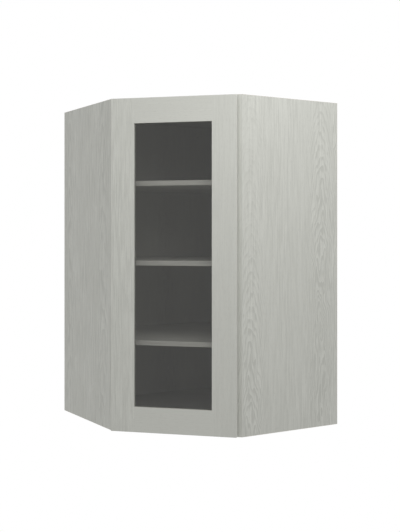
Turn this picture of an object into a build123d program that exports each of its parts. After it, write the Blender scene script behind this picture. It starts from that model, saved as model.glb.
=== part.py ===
from build123d import *

import math
import os

# A diagonal corner wall cabinet with one glazed frame door. Millimetres, +Z up.
# The two walls of the room meet at the origin: the left wall is the plane X = 0, the right wall
# is the plane Y = 0, and the cabinet fills the corner X > 0, Y < 0 up to a diagonal front.
# Left and right are those of a person who faces the door.

# Carcass
WALL_RUN = 685.8  # length along each wall
SIDE_DEPTH = 381.0  # depth of a side, from the wall to the front corner
HEIGHT = 1066.8
PANEL = 12.7  # thickness of the sides and decks
HOUSING = 6.0  # depth of the housings in the sides that take the decks and backs
GLUE = 0.1  # room for glue at the bottom of a housing, groove or mortise
BOTTOM_RISE = 19.0  # underside of the bottom deck above the lower edge of the sides
TOP_DROP = 9.5  # upper face of the top deck below the upper edge of the sides
BACK = 6.35  # thickness of the back panels
BACK_GROOVE = 4.0  # depth of the grooves in the decks that take the backs
BOARD_EASE = 0.8  # radius of the front corners of the sides and the front edges of the shelves

# Hanging rails and corner cleats, in the space between the backs and the walls
RAIL = 12.7
RAIL_WIDTH = 76.2
CLEAT_WIDTH = 63.5
STUD_SPACING = 406.4  # distance between the two wall screws of a rail
WALL_SCREW_RADIUS = 2.6  # clearance hole of a wall screw

# Face frame
FRAME = 19.05  # thickness
FRAME_STILE = 38.1  # from the front corner to the opening
FRAME_RAIL = 38.1
FRAME_TENON = 12.0  # length of the rails' tenons
FRAME_TENON_THICK = 6.35
FRAME_TENON_SHOULDER = 6.0

# Shelves and the pins that carry them
SHELF_NAMES = ["lower", "middle", "upper"]
SHELF = 16.0
SHELF_PLAY = 1.5  # gap round the shelf
SHELF_SETBACK = 9.0  # front edge of the shelf behind the face frame
PIN_RADIUS = 2.45
PIN_HOLE_RADIUS = 2.5
PIN_DEPTH = 10.0  # length of the pin inside its hole
PIN_TAB = 12.0  # reach of the pin's tab under the shelf
PIN_TAB_WIDTH = 10.0
PIN_TAB_THICK = 3.0
PIN_TAB_ROUND = 3.0  # corner radius of the tab's free end
PIN_HOLE_PITCH = 32.0
PIN_HOLE_COUNT = 3  # holes in a group, the pin in the middle one
PIN_WALL_INSET = 60.0  # rear pins of a side, from the wall
PIN_FRONT_INSET = 38.0  # front pins of a side, behind the shelf's front corner
PIN_CORNER_INSET = 45.0  # pins in the backs, from the other wall

# Door
DOOR = 19.0  # thickness
DOOR_GAP = 3.0  # between the face frame and the shut door
HINGE_REVEAL = 7.9  # from the left front corner to the door's hinged edge
FREE_REVEAL = 13.4  # from the right front corner to the door's free edge
END_REVEAL = 2.4  # from the cabinet's top and bottom to the door's ends
DOOR_STILE = 78.2
DOOR_RAIL = 80.6
DOOR_EASE = 1.5  # radius of the door's outer edges
DOOR_TENON = 25.0
DOOR_TENON_THICK = 6.0
DOOR_TENON_SHOULDER = 12.0
REBATE_WIDTH = 9.5  # of the step behind the opening that takes the glass
GLASS_LIP = 8.0  # thickness of the frame in front of the glass
GLASS = 4.0
GLASS_PLAY = 1.5
BEAD_CHAMFER = 3.0
BUMPER_RADIUS = 4.5
BUMPER_INSET = 12.0  # from the door's free edge
BUMPER_END = 30.0  # from the door's ends
BUMPER_CLEAR = 0.3  # between the bumper and the face frame
BUMPER_ROUND = 1.0

# Hinges: a cup let into the door, and an arm that turns on a pin inside the cup
HINGE_NAMES = ["lower", "middle", "upper"]
HINGE_END = 90.0  # outer hinges, from the door's ends
HINGE_PIVOT_INSET = 7.3  # pivot from the door's edge
HINGE_PIVOT_DEPTH = 8.0  # pivot from the door's rear face
CUP_RADIUS = 17.5  # bore in the door
CUP_DEPTH = 13.0
CUP_TAB = 3.0  # wood left between the bore and the door's edge
CUP_WALL = 1.0
CUP_FIT = 0.05
CUP_RIM = 19.0  # radius of the flange round the cup, cut flush with the bore by the door's edge
FLANGE = 1.4
EAR_RADIUS = 6.0  # screw ears of the flange
EAR_SPREAD = 22.5  # ears above and below the cup's centre
EAR_OFFSET = 9.5  # ears from the cup's centre, away from the door's edge
CHEEK_GAP = 5.2  # from the cup's middle to the cheeks that hold the pin
CHEEK_REACH = 3.0  # cheeks past the pivot
HINGE_PIN_RADIUS = 1.25
HINGE_PIN_LENGTH = 18.0
PRESS_ROOM = 0.02  # round the pin in the cheeks
RUNNING_ROOM = 0.05  # round the pin in the knuckle
KNUCKLE_RADIUS = 2.4
ARM = 1.6  # thickness of the arm's metal
ARM_WIDTH = 8.4
ARM_RISE = 2.5  # how far the neck climbs towards the cup's floor
ARM_BEND = 5.0
PLATE_WIDTH = 16.0
PLATE_HEIGHT = 40.0
PLATE_ROUND = 4.0
PLATE_SCREW_SPREAD = 13.0
LEAF = 0.5  # thickness of the self-closing spring
LEAF_WIDTH = 7.0
LEAF_REACH = 14.0  # from the pivot to the spring's fixed end
LEAF_LIFT = 5.0  # from the pivot to where the spring leaves the cup's floor
LEAF_TIP = 1.0  # spring's free end past the pivot
LEAF_BEND = 6.0
LEAF_CLEAR = 0.3  # between the spring and the knuckle
SCREW_RADIUS = 1.75
SCREW_HEAD_RADIUS = 3.5
SCREW_FIT = 0.05
CUP_SCREW_LENGTH = 12.0
PLATE_SCREW_LENGTH = 16.0
PLATE_SCREW_HEAD = 1.6
PLATE_SCREW_TOP = 2.4  # radius of the top of the pan head

# Places worked out from the sizes above
ROOT2 = math.sqrt(2)
DIAGONAL = (WALL_RUN - SIDE_DEPTH) * ROOT2  # length of the front, corner to corner
INSIDE = WALL_RUN - PANEL  # from a wall to the inner face of the side across from it
FRAME_BACK_SUM = WALL_RUN + SIDE_DEPTH - FRAME * ROOT2  # X - Y on the face frame's rear face
DECK_FLOOR = BOTTOM_RISE + PANEL  # upper face of the bottom deck
DECK_CEILING = HEIGHT - TOP_DROP - PANEL  # underside of the top deck
UPPER_RAIL_LOW = DECK_CEILING - RAIL_WIDTH
LOWER_RAIL_HIGH = DECK_FLOOR + RAIL_WIDTH
BACK_FACE = RAIL + BACK  # from a wall to the inner face of its back panel
WALL_SCREW_SPOTS = [
    (-WALL_RUN / 2 + side * STUD_SPACING / 2, height)
    for side in (-1, 1)
    for height in (DECK_FLOOR + RAIL_WIDTH / 2, DECK_CEILING - RAIL_WIDTH / 2)
]

SHELF_COUNT = len(SHELF_NAMES)
SHELF_CLEAR = (DECK_CEILING - DECK_FLOOR - SHELF_COUNT * SHELF) / (SHELF_COUNT + 1)
SHELF_LOWS = [DECK_FLOOR + SHELF_CLEAR + i * (SHELF_CLEAR + SHELF) for i in range(SHELF_COUNT)]
SHELF_NEAR = BACK_FACE + SHELF_PLAY
SHELF_FAR = INSIDE - SHELF_PLAY
SHELF_FRONT_SUM = FRAME_BACK_SUM - SHELF_SETBACK * ROOT2
PIN_HEIGHTS = [low - PIN_RADIUS for low in SHELF_LOWS]
PIN_STEPS = [(i - (PIN_HOLE_COUNT - 1) / 2) * PIN_HOLE_PITCH for i in range(PIN_HOLE_COUNT)]
PIN_HOLE_HEIGHTS = [height + step for height in PIN_HEIGHTS for step in PIN_STEPS]
CORNER_PIN_SPOTS = [(-PIN_CORNER_INSET, height) for height in PIN_HOLE_HEIGHTS]
SIDE_PIN_RUNS = [PIN_WALL_INSET, SHELF_FRONT_SUM - SHELF_FAR - PIN_FRONT_INSET]

DOOR_LEFT = HINGE_REVEAL
DOOR_RIGHT = DIAGONAL - FREE_REVEAL
DOOR_LOW = END_REVEAL
DOOR_HIGH = HEIGHT - END_REVEAL
DOOR_FACE = DOOR_GAP + DOOR
REBATE_DEPTH = DOOR - GLASS_LIP
OPEN_LEFT = DOOR_LEFT + DOOR_STILE
OPEN_RIGHT = DOOR_RIGHT - DOOR_STILE
OPEN_LOW = DOOR_LOW + DOOR_RAIL
OPEN_HIGH = DOOR_HIGH - DOOR_RAIL

HINGE_FIRST = DOOR_LOW + HINGE_END
HINGE_STEP = (DOOR_HIGH - DOOR_LOW - 2 * HINGE_END) / (len(HINGE_NAMES) - 1)
HINGE_HEIGHTS = [HINGE_FIRST + i * HINGE_STEP for i in range(len(HINGE_NAMES))]
PIVOT_ALONG = DOOR_LEFT + HINGE_PIVOT_INSET
PIVOT_OUT = DOOR_GAP + HINGE_PIVOT_DEPTH
CUP_ALONG = DOOR_LEFT + CUP_TAB + CUP_RADIUS
CUP_HOLLOW = CUP_RADIUS - CUP_FIT - CUP_WALL
CUP_FLOOR = DOOR_GAP + CUP_DEPTH - CUP_WALL
PLATE_MIDDLE = FRAME_STILE + ARM / 2 - PIVOT_ALONG  # middle of the arm's plate, from the pivot
PLATE_OUT = -FRAME / 2 - PIVOT_OUT
LEAF_FLOOR = CUP_FLOOR - LEAF / 2 - PIVOT_OUT
LEAF_TIP_OUT = KNUCKLE_RADIUS + LEAF_CLEAR + LEAF / 2
SINK_ANGLE = 2 * math.degrees(math.atan((SCREW_HEAD_RADIUS - SCREW_RADIUS) / FLANGE))

# Planes. FRONT lies in the diagonal front: its x runs along the front from the left corner, its y
# is up and its z points out of the cabinet. SWAP swaps the left and right halves of the cabinet, and
# DOOR_SWAP those of the door.
ALONG = Vector(1, 1, 0).normalized()
OUT = Vector(1, -1, 0).normalized()
UP = Vector(0, 0, 1)
FRONT = Plane(origin=(SIDE_DEPTH, -WALL_RUN, 0), x_dir=ALONG, z_dir=OUT)
SWAP = Plane(origin=(0, 0, 0), z_dir=ALONG)
DOOR_SWAP = Plane(origin=FRONT.from_local_coords(((DOOR_LEFT + DOOR_RIGHT) / 2, 0, 0)), z_dir=ALONG)
ACROSS_FRONT = Axis(FRONT.origin, ALONG)
OUT_OF_FRONT = Axis(FRONT.origin, OUT)


def level(height):
    """Horizontal plane with its x along the front and its y out of the cabinet, seen from below."""
    return Plane(origin=FRONT.origin + UP * height, x_dir=ALONG, z_dir=-UP)


def pivot_level(height):
    """The same plane with its origin on the hinges' axis."""
    pivot = FRONT.from_local_coords((PIVOT_ALONG, height, PIVOT_OUT))
    return Plane(origin=pivot, x_dir=ALONG, z_dir=-UP)


def save(piece, name):
    """Label a finished piece and write it to its own file."""
    piece.part.label = name
    export_step(piece.part, f"parts/{name}.step")


def span(low, high):
    """Rectangle between two opposite corners."""
    with Locations(low):
        Rectangle(high[0] - low[0], high[1] - low[1], align=Align.MIN)


def pentagon(near, far, front_sum):
    """Five-sided plan: near the walls, far to the sides, and cut where X - Y reaches front_sum."""
    Polygon(
        (near, -near),
        (far, -near),
        (far, far - front_sum),
        (front_sum - far, -far),
        (near, -far),
    )


def deck_plan(reach):
    """Plan of a deck that reaches into the sides' housings by the given depth."""
    pentagon(0, INSIDE + reach, FRAME_BACK_SUM)


def left_back_plan(start, reach):
    """Plan of the left back, from a distance off the right wall into the side's groove."""
    span((RAIL, -(INSIDE + reach)), (BACK_FACE, -start))


def right_back_plan(start, reach):
    """Plan of the right back, from a distance off the left wall into the side's groove."""
    span((start, -BACK_FACE), (INSIDE + reach, -RAIL))


def swapped(piece, about=SWAP):
    """Mirror image of a left-hand piece, for the right-hand side."""
    with BuildPart() as twin:
        mirror(piece.part, about=about)
    return twin


def bore_from_left_wall(spots, radius, start, depth):
    """Round holes along X at the given (Y, Z) spots, from a distance off the left wall."""
    with BuildSketch(Plane.YZ.offset(start)) as holes:
        with Locations(*spots):
            Circle(radius)
    extrude(holes.sketch, amount=depth, mode=Mode.SUBTRACT)


os.makedirs("parts", exist_ok=True)

# Side panels: square at the wall, mitred at the front, with housings for the decks and the back
side_inner = Plane(origin=(0, -INSIDE, 0), x_dir=(-1, 0, 0), z_dir=(0, 1, 0))
with BuildPart() as left_side_panel:
    with BuildSketch():
        Polygon(
            (0, -WALL_RUN),
            (SIDE_DEPTH, -WALL_RUN),
            (SIDE_DEPTH + PANEL, -INSIDE),
            (0, -INSIDE),
        )
    extrude(amount=HEIGHT)
    outer_corners = left_side_panel.edges().filter_by(Axis.Z).group_by(Axis.Y)[0]
    fillet(outer_corners.sort_by(Axis.X)[-1], BOARD_EASE)
    for low in (BOTTOM_RISE, DECK_CEILING):
        with BuildSketch(Plane.XY.offset(low)):
            deck_plan(HOUSING)
        extrude(amount=PANEL, mode=Mode.SUBTRACT)
    with BuildSketch(Plane.XY.offset(DECK_FLOOR)):
        left_back_plan(RAIL, HOUSING)
    extrude(amount=DECK_CEILING - DECK_FLOOR, mode=Mode.SUBTRACT)
    with BuildSketch(side_inner):
        with Locations(*[(-run, height) for run in SIDE_PIN_RUNS for height in PIN_HOLE_HEIGHTS]):
            Circle(PIN_HOLE_RADIUS)
    extrude(amount=-PIN_DEPTH, mode=Mode.SUBTRACT)
save(left_side_panel, "left_side_panel")
save(swapped(left_side_panel), "right_side_panel")

# Decks: the top and bottom, grooved for the upper and lower edges of the backs
for name, low, groove_low in (
    ("bottom_deck", BOTTOM_RISE, DECK_FLOOR - BACK_GROOVE),
    ("top_deck", DECK_CEILING, DECK_CEILING),
):
    with BuildPart() as deck:
        with BuildSketch(Plane.XY.offset(low)):
            deck_plan(HOUSING - GLUE)
        extrude(amount=PANEL)
        with BuildSketch(Plane.XY.offset(groove_low)):
            left_back_plan(RAIL, HOUSING)
            right_back_plan(RAIL, HOUSING)
        extrude(amount=BACK_GROOVE, mode=Mode.SUBTRACT)
    save(deck, name)


def back_panel(start):
    """Left-hand back panel, bored for the wall screws and the corner shelf pins."""
    with BuildPart() as panel:
        with BuildSketch(Plane.XY.offset(DECK_FLOOR - BACK_GROOVE + GLUE)):
            left_back_plan(start, HOUSING - GLUE)
        extrude(amount=DECK_CEILING - DECK_FLOOR + 2 * (BACK_GROOVE - GLUE))
        bore_from_left_wall(WALL_SCREW_SPOTS, WALL_SCREW_RADIUS, RAIL, BACK)
        bore_from_left_wall(CORNER_PIN_SPOTS, PIN_HOLE_RADIUS, RAIL, BACK)
    return panel


def hanging_rail(start, low):
    """Left-hand hanging rail, between the back and the wall, bored for two wall screws."""
    with BuildPart() as rail:
        with BuildSketch(Plane.XY.offset(low)):
            span((0, -INSIDE), (RAIL, -start))
        extrude(amount=RAIL_WIDTH)
        bore_from_left_wall(WALL_SCREW_SPOTS, WALL_SCREW_RADIUS, 0, RAIL)
    return rail


def corner_cleat(start):
    """Left-hand corner cleat, between the hanging rails, which backs the corner shelf pins."""
    with BuildPart() as cleat:
        with BuildSketch(Plane.XY.offset(LOWER_RAIL_HIGH)):
            span((0, -start - CLEAT_WIDTH), (RAIL, -start))
        extrude(amount=UPPER_RAIL_LOW - LOWER_RAIL_HIGH)
        bore_from_left_wall(CORNER_PIN_SPOTS, PIN_HOLE_RADIUS, BACK_FACE - PIN_DEPTH, PIN_DEPTH)
    return cleat


# At the room's corner the left-hand pieces run through, and the right-hand ones butt against them
save(back_panel(RAIL), "left_back_panel")
save(swapped(back_panel(BACK_FACE)), "right_back_panel")
for rail_name, rail_low in (("lower", DECK_FLOOR), ("upper", UPPER_RAIL_LOW)):
    save(hanging_rail(0, rail_low), f"left_{rail_name}_hanging_rail")
    save(swapped(hanging_rail(RAIL, rail_low)), f"right_{rail_name}_hanging_rail")
save(corner_cleat(0), "left_corner_cleat")
save(swapped(corner_cleat(RAIL)), "right_corner_cleat")


# Face frame: stiles bevelled to lie against the sides, and rails tenoned into the stiles
FRAME_TENON_BACK = -(FRAME + FRAME_TENON_THICK) / 2
FRAME_RAIL_LOWS = {"bottom": 0, "top": HEIGHT - FRAME_RAIL}
BEVEL_FRONT = PANEL * ROOT2  # where the side's inner face meets the front
PLATE_SCREW_SPOTS = [
    (-FRAME / 2, height + side * PLATE_SCREW_SPREAD)
    for height in HINGE_HEIGHTS
    for side in (-1, 1)
]
# The frame's inner edge on the hinge side: x points out of the cabinet, y down
STILE_EDGE = Plane(origin=FRONT.from_local_coords((FRAME_STILE, 0, 0)), x_dir=OUT, z_dir=ALONG)


def frame_stile():
    """Left-hand stile of the face frame, with mortises for the rails' tenons."""
    with BuildPart() as stile:
        with BuildSketch(level(HEIGHT)):
            Polygon(
                (BEVEL_FRONT, 0),
                (FRAME_STILE, 0),
                (FRAME_STILE, -FRAME),
                (BEVEL_FRONT - FRAME, -FRAME),
            )
        extrude(amount=HEIGHT)
        with BuildSketch(FRONT.offset(FRAME_TENON_BACK)):
            for low in FRAME_RAIL_LOWS.values():
                span(
                    (FRAME_STILE - FRAME_TENON - GLUE, low + FRAME_TENON_SHOULDER),
                    (FRAME_STILE, low + FRAME_RAIL - FRAME_TENON_SHOULDER),
                )
        extrude(amount=FRAME_TENON_THICK, mode=Mode.SUBTRACT)
    return stile


save(swapped(frame_stile()), "frame_right_stile")

with BuildPart() as frame_left_stile:
    add(frame_stile().part)
    with BuildSketch(STILE_EDGE):
        with Locations(*[(out, -height) for out, height in PLATE_SCREW_SPOTS]):
            Circle(SCREW_RADIUS + SCREW_FIT)
    extrude(amount=-PLATE_SCREW_LENGTH, mode=Mode.SUBTRACT)
save(frame_left_stile, "frame_left_stile")

for name, low in FRAME_RAIL_LOWS.items():
    with BuildPart() as frame_rail:
        with BuildSketch(FRONT.offset(-FRAME)):
            span((FRAME_STILE, low), (DIAGONAL - FRAME_STILE, low + FRAME_RAIL))
        extrude(amount=FRAME)
        with BuildSketch(FRONT.offset(FRAME_TENON_BACK)):
            span(
                (FRAME_STILE - FRAME_TENON, low + FRAME_TENON_SHOULDER),
                (DIAGONAL - FRAME_STILE + FRAME_TENON, low + FRAME_RAIL - FRAME_TENON_SHOULDER),
            )
        extrude(amount=FRAME_TENON_THICK)
    save(frame_rail, f"frame_{name}_rail")

# Shelves, each on six pins: two in each side and one in each back
BACK_INNER = Plane(origin=(BACK_FACE, 0, 0), x_dir=(0, 1, 0), z_dir=(1, 0, 0))


def shelf_pin(seat):
    """Pin on a seat plane whose z points into the cabinet: a round shank and a flat tab."""
    with BuildSketch(seat) as shank:
        Circle(PIN_RADIUS)
    extrude(shank.sketch, amount=-PIN_DEPTH)
    tab_top = Plane(
        origin=seat.from_local_coords((0, PIN_RADIUS, 0)), x_dir=seat.x_dir, z_dir=-seat.y_dir
    )
    with BuildSketch(tab_top) as tab:
        Rectangle(PIN_TAB_WIDTH, PIN_TAB, align=(Align.CENTER, Align.MIN))
        fillet(tab.vertices().group_by(Axis.Y)[-1], PIN_TAB_ROUND)
    extrude(tab.sketch, amount=PIN_TAB_THICK)


for name, low in zip(SHELF_NAMES, SHELF_LOWS):
    with BuildPart() as shelf:
        with BuildSketch(Plane.XY.offset(low)):
            pentagon(SHELF_NEAR, SHELF_FAR, SHELF_FRONT_SUM)
        extrude(amount=SHELF)
        fillet(shelf.edges().filter_by(ACROSS_FRONT), min(BOARD_EASE, SHELF / 3))
    save(shelf, f"{name}_shelf")
    with BuildPart() as pins:
        for run in SIDE_PIN_RUNS:
            shelf_pin(side_inner.shift_origin(side_inner.from_local_coords((-run, low - PIN_RADIUS))))
        corner_spot = BACK_INNER.from_local_coords((-PIN_CORNER_INSET, low - PIN_RADIUS))
        shelf_pin(BACK_INNER.shift_origin(corner_spot))
        mirror(pins.part, about=SWAP)
    save(pins, f"{name}_shelf_pins")

# Door frame: full-height stiles, rails tenoned between them, and a step at the back for the glass
DOOR_BACK = FRONT.offset(DOOR_GAP)
DOOR_TENON_BACK = DOOR_GAP + (DOOR - DOOR_TENON_THICK) / 2
DOOR_RAIL_TENONS = [
    (DOOR_LOW + DOOR_TENON_SHOULDER, OPEN_LOW - REBATE_WIDTH - DOOR_TENON_SHOULDER),
    (OPEN_HIGH + REBATE_WIDTH + DOOR_TENON_SHOULDER, DOOR_HIGH - DOOR_TENON_SHOULDER),
]
CUP_SCREW_SPOTS = [
    (CUP_ALONG + EAR_OFFSET, height + side * EAR_SPREAD)
    for height in HINGE_HEIGHTS
    for side in (-1, 1)
]


def cut_rebate():
    """The step behind the opening that takes the glass and its beads."""
    with BuildSketch(DOOR_BACK) as step:
        span(
            (OPEN_LEFT - REBATE_WIDTH, OPEN_LOW - REBATE_WIDTH),
            (OPEN_RIGHT + REBATE_WIDTH, OPEN_HIGH + REBATE_WIDTH),
        )
    extrude(step.sketch, amount=REBATE_DEPTH, mode=Mode.SUBTRACT)


def ease(edges):
    """Round the door's outer edges, by less where the door is thin."""
    fillet(edges, min(DOOR_EASE, DOOR / 3))


def door_stile():
    """Left-hand stile of the door, with mortises for the rails and its outer edges rounded."""
    with BuildPart() as stile:
        with BuildSketch(DOOR_BACK):
            span((DOOR_LEFT, DOOR_LOW), (OPEN_LEFT, DOOR_HIGH))
        extrude(amount=DOOR)
        edge_groups = stile.edges().group_by(ACROSS_FRONT)
        ease(edge_groups[0] + edge_groups[1])
        cut_rebate()
        with BuildSketch(FRONT.offset(DOOR_TENON_BACK)):
            for low, high in DOOR_RAIL_TENONS:
                span((OPEN_LEFT - DOOR_TENON - GLUE, low), (OPEN_LEFT, high))
        extrude(amount=DOOR_TENON_THICK, mode=Mode.SUBTRACT)
    return stile


save(swapped(door_stile(), DOOR_SWAP), "door_right_stile")

with BuildPart() as door_left_stile:
    add(door_stile().part)
    with BuildSketch(DOOR_BACK):
        with Locations(*[(CUP_ALONG, height) for height in HINGE_HEIGHTS]):
            Circle(CUP_RADIUS)
    extrude(amount=CUP_DEPTH, mode=Mode.SUBTRACT)
    with BuildSketch(DOOR_BACK):
        with Locations(*CUP_SCREW_SPOTS):
            Circle(SCREW_RADIUS + SCREW_FIT)
    extrude(amount=CUP_SCREW_LENGTH, mode=Mode.SUBTRACT)
save(door_left_stile, "door_left_stile")

for name, low, high, tenon, edge in (
    ("bottom", DOOR_LOW, OPEN_LOW, DOOR_RAIL_TENONS[0], 0),
    ("top", OPEN_HIGH, DOOR_HIGH, DOOR_RAIL_TENONS[1], -1),
):
    with BuildPart() as door_rail:
        with BuildSketch(DOOR_BACK):
            span((OPEN_LEFT, low), (OPEN_RIGHT, high))
        extrude(amount=DOOR)
        ease(door_rail.edges().filter_by(ACROSS_FRONT).group_by(Axis.Z)[edge])
        cut_rebate()
        with BuildSketch(FRONT.offset(DOOR_TENON_BACK)):
            span((OPEN_LEFT - DOOR_TENON, tenon[0]), (OPEN_RIGHT + DOOR_TENON, tenon[1]))
        extrude(amount=DOOR_TENON_THICK)
    save(door_rail, f"door_{name}_rail")

# Glass, against the lip of the door frame, and the mitred beads that hold it from behind
GLASS_FACE = DOOR_FACE - GLASS_LIP
GLASS_INSET = REBATE_WIDTH - GLASS_PLAY
with BuildPart() as glass_pane:
    with BuildSketch(FRONT.offset(GLASS_FACE - GLASS)):
        span(
            (OPEN_LEFT - GLASS_INSET, OPEN_LOW - GLASS_INSET),
            (OPEN_RIGHT + GLASS_INSET, OPEN_HIGH + GLASS_INSET),
        )
    extrude(amount=GLASS)
save(glass_pane, "glass_pane")

OPENING = [
    (OPEN_LEFT, OPEN_LOW),
    (OPEN_RIGHT, OPEN_LOW),
    (OPEN_RIGHT, OPEN_HIGH),
    (OPEN_LEFT, OPEN_HIGH),
]
BEAD_SIGNS = [(-1, -1), (1, -1), (1, 1), (-1, 1)]
BEAD_CORNERS = [
    (along + REBATE_WIDTH * sign[0], height + REBATE_WIDTH * sign[1])
    for (along, height), sign in zip(OPENING, BEAD_SIGNS)
]
BEAD_THICK = GLASS_FACE - GLASS - DOOR_GAP
for i, name in enumerate(["bottom", "right", "top", "left"]):
    j = (i + 1) % len(OPENING)
    sight = Vector(FRONT.from_local_coords((*OPENING[i], DOOR_GAP)))
    with BuildPart() as bead:
        with BuildSketch(DOOR_BACK):
            Polygon(BEAD_CORNERS[i], BEAD_CORNERS[j], OPENING[j], OPENING[i])
        extrude(amount=BEAD_THICK)
        run = Vector(FRONT.from_local_coords((*OPENING[j], DOOR_GAP))) - sight
        along_bead = bead.edges().filter_by(Axis(sight, run))
        chamfer(along_bead.sort_by_distance(sight + run / 2)[0], min(BEAD_CHAMFER, BEAD_THICK / 2))
    save(bead, f"{name}_glazing_bead")

# Bumpers on the rear of the door, by its free edge
with BuildPart() as door_bumpers:
    with BuildSketch(DOOR_BACK):
        with Locations(
            (DOOR_RIGHT - BUMPER_INSET, DOOR_LOW + BUMPER_END),
            (DOOR_RIGHT - BUMPER_INSET, DOOR_HIGH - BUMPER_END),
        ):
            Circle(BUMPER_RADIUS)
    extrude(amount=BUMPER_CLEAR - DOOR_GAP)
    free_faces = door_bumpers.faces().filter_by(OUT_OF_FRONT).group_by(OUT_OF_FRONT)[0]
    fillet(free_faces.edges(), BUMPER_ROUND)
save(door_bumpers, "door_bumpers")

# Hinges. Cup: a drum with a screw flange, hollow but for two cheeks that hold the pivot pin
CUP_SCREW_HEADS = [
    Plane(origin=FRONT.from_local_coords((*spot, DOOR_GAP - FLANGE)), x_dir=ALONG, z_dir=-OUT)
    for spot in CUP_SCREW_SPOTS
]
PLATE_SCREW_HEADS = [
    Plane(
        origin=FRONT.from_local_coords((FRAME_STILE + ARM, height, out)), x_dir=OUT, z_dir=ALONG
    )
    for out, height in PLATE_SCREW_SPOTS
]


def hinge_cup(height, screw_heads):
    """Cup of one hinge, with its screw holes at the two given places."""
    rim = FRONT.offset(DOOR_GAP).shift_origin(FRONT.from_local_coords((CUP_ALONG, height, DOOR_GAP)))
    with BuildPart() as cup:
        with BuildSketch(rim):
            Circle(CUP_RADIUS - CUP_FIT)
        extrude(amount=CUP_DEPTH - CUP_FIT)
        with BuildSketch(rim):
            Circle(CUP_RIM)
            with Locations((EAR_OFFSET, EAR_SPREAD), (EAR_OFFSET, -EAR_SPREAD)):
                Circle(EAR_RADIUS)
            make_hull()
            with Locations((-CUP_RADIUS, 0)):
                Rectangle(CUP_RIM, 2 * CUP_RIM, align=(Align.MAX, Align.CENTER), mode=Mode.SUBTRACT)
        extrude(amount=-FLANGE)
        with BuildSketch(rim.offset(-FLANGE)):
            Circle(CUP_HOLLOW)
            for side, fill in ((-1, Align.MAX), (1, Align.MIN)):
                with Locations((PIVOT_ALONG + CHEEK_REACH - CUP_ALONG, side * CHEEK_GAP)):
                    Rectangle(CUP_RIM, CUP_RIM, align=(Align.MAX, fill), mode=Mode.SUBTRACT)
        extrude(amount=FLANGE + CUP_DEPTH - CUP_WALL, mode=Mode.SUBTRACT)
        with BuildSketch(pivot_level(height)):
            Circle(HINGE_PIN_RADIUS + PRESS_ROOM)
        extrude(amount=HINGE_PIN_LENGTH / 2 + PRESS_ROOM, both=True, mode=Mode.SUBTRACT)
        with Locations(*screw_heads):
            CounterSinkHole(
                SCREW_RADIUS + SCREW_FIT, SCREW_HEAD_RADIUS + SCREW_FIT, FLANGE, SINK_ANGLE
            )
    return cup


def hinge_arm(height, screw_heads):
    """Arm of one hinge: a knuckle round the pin, a cranked neck and a plate on the face frame."""
    with BuildPart() as arm:
        with BuildSketch(pivot_level(height)):
            with BuildLine():
                FilletPolyline(
                    (0, 0), (PLATE_MIDDLE, ARM_RISE), (PLATE_MIDDLE, PLATE_OUT), radius=ARM_BEND
                )
            trace(line_width=ARM)
            Circle(KNUCKLE_RADIUS)
            Circle(HINGE_PIN_RADIUS + RUNNING_ROOM, mode=Mode.SUBTRACT)
        extrude(amount=ARM_WIDTH / 2, both=True)
        with BuildSketch(STILE_EDGE):
            with Locations((-FRAME / 2, -height)):
                RectangleRounded(PLATE_WIDTH, PLATE_HEIGHT, PLATE_ROUND)
        extrude(amount=ARM)
        with Locations(*screw_heads):
            Hole(SCREW_RADIUS + SCREW_FIT, ARM)
    return arm


for i, (name, height) in enumerate(zip(HINGE_NAMES, HINGE_HEIGHTS)):
    pair = slice(2 * i, 2 * i + 2)
    save(hinge_cup(height, CUP_SCREW_HEADS[pair]), f"{name}_hinge_cup")
    save(hinge_arm(height, PLATE_SCREW_HEADS[pair]), f"{name}_hinge_arm")

# Pivot pins, pressed into the cheeks, on one vertical axis
with BuildPart() as hinge_pins:
    for height in HINGE_HEIGHTS:
        with BuildSketch(pivot_level(height)):
            Circle(HINGE_PIN_RADIUS)
        extrude(amount=HINGE_PIN_LENGTH / 2, both=True)
save(hinge_pins, "hinge_pins")

# Leaf springs: each lies on its cup's floor and lifts towards the knuckle, to keep the door shut
with BuildPart() as hinge_springs:
    for height in HINGE_HEIGHTS:
        with BuildSketch(pivot_level(height)):
            with BuildLine():
                FilletPolyline(
                    (LEAF_REACH, LEAF_FLOOR),
                    (LEAF_LIFT, LEAF_FLOOR),
                    (-LEAF_TIP, LEAF_TIP_OUT),
                    radius=LEAF_BEND,
                )
            trace(line_width=LEAF)
        extrude(amount=LEAF_WIDTH / 2, both=True)
save(hinge_springs, "hinge_springs")

# Screws: countersunk ones through the cups' flanges, pan heads through the arms' plates
with BuildPart() as hinge_cup_screws:
    with Locations(*CUP_SCREW_HEADS):
        Cone(
            SCREW_RADIUS, SCREW_HEAD_RADIUS, FLANGE, align=(Align.CENTER, Align.CENTER, Align.MAX)
        )
        Cylinder(
            SCREW_RADIUS,
            FLANGE + CUP_SCREW_LENGTH - SCREW_FIT,
            align=(Align.CENTER, Align.CENTER, Align.MAX),
        )
save(hinge_cup_screws, "hinge_cup_screws")

with BuildPart() as hinge_arm_screws:
    with Locations(*PLATE_SCREW_HEADS):
        Cone(
            SCREW_HEAD_RADIUS,
            PLATE_SCREW_TOP,
            PLATE_SCREW_HEAD,
            align=(Align.CENTER, Align.CENTER, Align.MIN),
        )
        Cylinder(
            SCREW_RADIUS,
            ARM + PLATE_SCREW_LENGTH - SCREW_FIT,
            align=(Align.CENTER, Align.CENTER, Align.MAX),
        )
save(hinge_arm_screws, "hinge_arm_screws")
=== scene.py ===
"""Finishes, screws, studio and camera for a diagonal corner wall cabinet with a glazed door."""

import math
from typing import NamedTuple

import bpy
import numpy as np
from bpy.props import FloatProperty, FloatVectorProperty, PointerProperty
from mathutils import Matrix, Vector


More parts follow.
